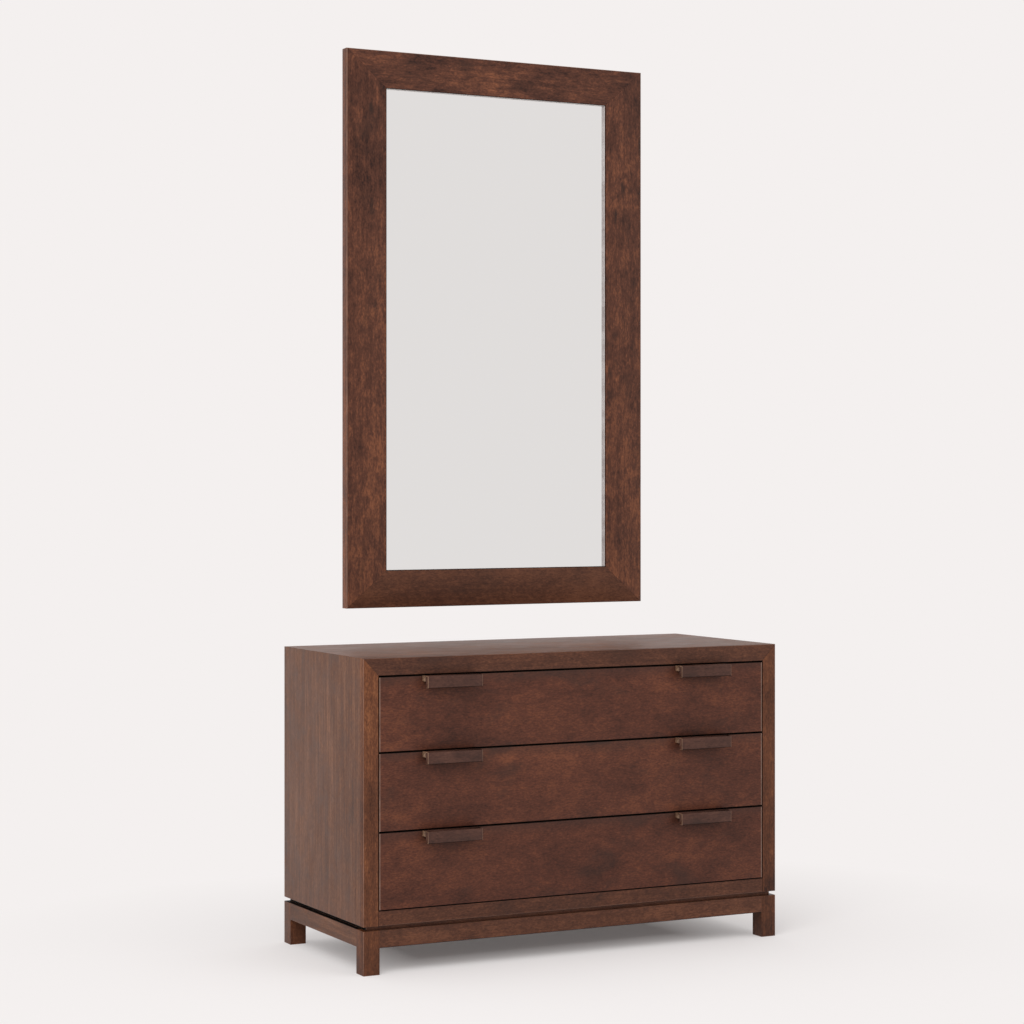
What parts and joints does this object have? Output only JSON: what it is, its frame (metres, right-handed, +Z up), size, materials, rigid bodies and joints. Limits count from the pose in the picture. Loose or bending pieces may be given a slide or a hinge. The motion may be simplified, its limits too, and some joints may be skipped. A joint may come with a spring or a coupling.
{
  "type": "dresser with mirror",
  "caption": "Low wide dresser on a leg base with full-width drawers and finger pulls, and a large wood-framed wall mirror hung above it.",
  "frame": {"origin": "on the floor, midway between the dresser's sides and midway from the pulls' front faces to the wall", "axes": "+X to the right as seen from the front, +Y towards the wall, +Z up"},
  "size_m": [1.219, 0.556, 2.401],
  "materials": {
    "face_wood": "satin brown stain, open grain",
    "front_wood": "satin dark brown stain, cloudy grain",
    "panel_wood": "satin brown stain, straight grain",
    "mirror_wood": "satin brown stain, figured grain",
    "box_wood": "clear lacquer on pale wood",
    "board": "matte stained board",
    "mirror_glass": "polished silvered glass",
    "steel": "zinc plated"
  },
  "bodies": {
    "carcass": {"leg_front_left": "face_wood", "leg_front_right": "face_wood", "leg_back_left": "face_wood", "leg_back_right": "face_wood", "apron_front": "face_wood", "apron_back": "panel_wood", "apron_left": "panel_wood", "apron_right": "panel_wood", "base_spacer": "board", "top_panel": "panel_wood", "side_panel_left": "panel_wood", "side_panel_right": "panel_wood", "bottom_panel": "board", "back_panel": "board", "face_stile_left": "face_wood", "face_stile_right": "face_wood", "face_rail_top": "face_wood", "face_rail_bottom": "face_wood", "slide_top_left_fixed": "steel", "slide_top_right_fixed": "steel", "slide_middle_left_fixed": "steel", "slide_middle_right_fixed": "steel", "slide_bottom_left_fixed": "steel", "slide_bottom_right_fixed": "steel", "wall_cleat": "steel"},
    "drawer_top": {"drawer_top_front": "front_wood", "drawer_top_bottom": "box_wood", "drawer_top_back": "box_wood", "drawer_top_side_left": "box_wood", "drawer_top_side_right": "box_wood", "drawer_top_pull_left": "front_wood", "drawer_top_pull_right": "front_wood", "slide_top_left_moving": "steel", "slide_top_right_moving": "steel"},
    "drawer_middle": {"drawer_middle_front": "front_wood", "drawer_middle_bottom": "box_wood", "drawer_middle_back": "box_wood", "drawer_middle_side_left": "box_wood", "drawer_middle_side_right": "box_wood", "drawer_middle_pull_left": "front_wood", "drawer_middle_pull_right": "front_wood", "slide_middle_left_moving": "steel", "slide_middle_right_moving": "steel"},
    "drawer_bottom": {"drawer_bottom_front": "front_wood", "drawer_bottom_bottom": "box_wood", "drawer_bottom_back": "box_wood", "drawer_bottom_side_left": "box_wood", "drawer_bottom_side_right": "box_wood", "drawer_bottom_pull_left": "front_wood", "drawer_bottom_pull_right": "front_wood", "slide_bottom_left_moving": "steel", "slide_bottom_right_moving": "steel"},
    "mirror": {"mirror_stile_left": "mirror_wood", "mirror_stile_right": "mirror_wood", "mirror_rail_top": "mirror_wood", "mirror_rail_bottom": "mirror_wood", "mirror_glass": "mirror_glass", "mirror_backing": "board", "mirror_cleat": "steel"}
  },
  "joints": [
    {"name": "drawer_top_slide", "type": "slide", "parent": "carcass", "child": "drawer_top", "axis": [0, -1, 0], "range_m": [0, 0.35]},
    {"name": "drawer_middle_slide", "type": "slide", "parent": "carcass", "child": "drawer_middle", "axis": [0, -1, 0], "range_m": [0, 0.35]},
    {"name": "drawer_bottom_slide", "type": "slide", "parent": "carcass", "child": "drawer_bottom", "axis": [0, -1, 0], "range_m": [0, 0.35]},
    {"name": "mirror_lift", "type": "slide", "parent": "carcass", "child": "mirror", "axis": [0, 0, 1], "range_m": [0, 0.014]}
  ]
}
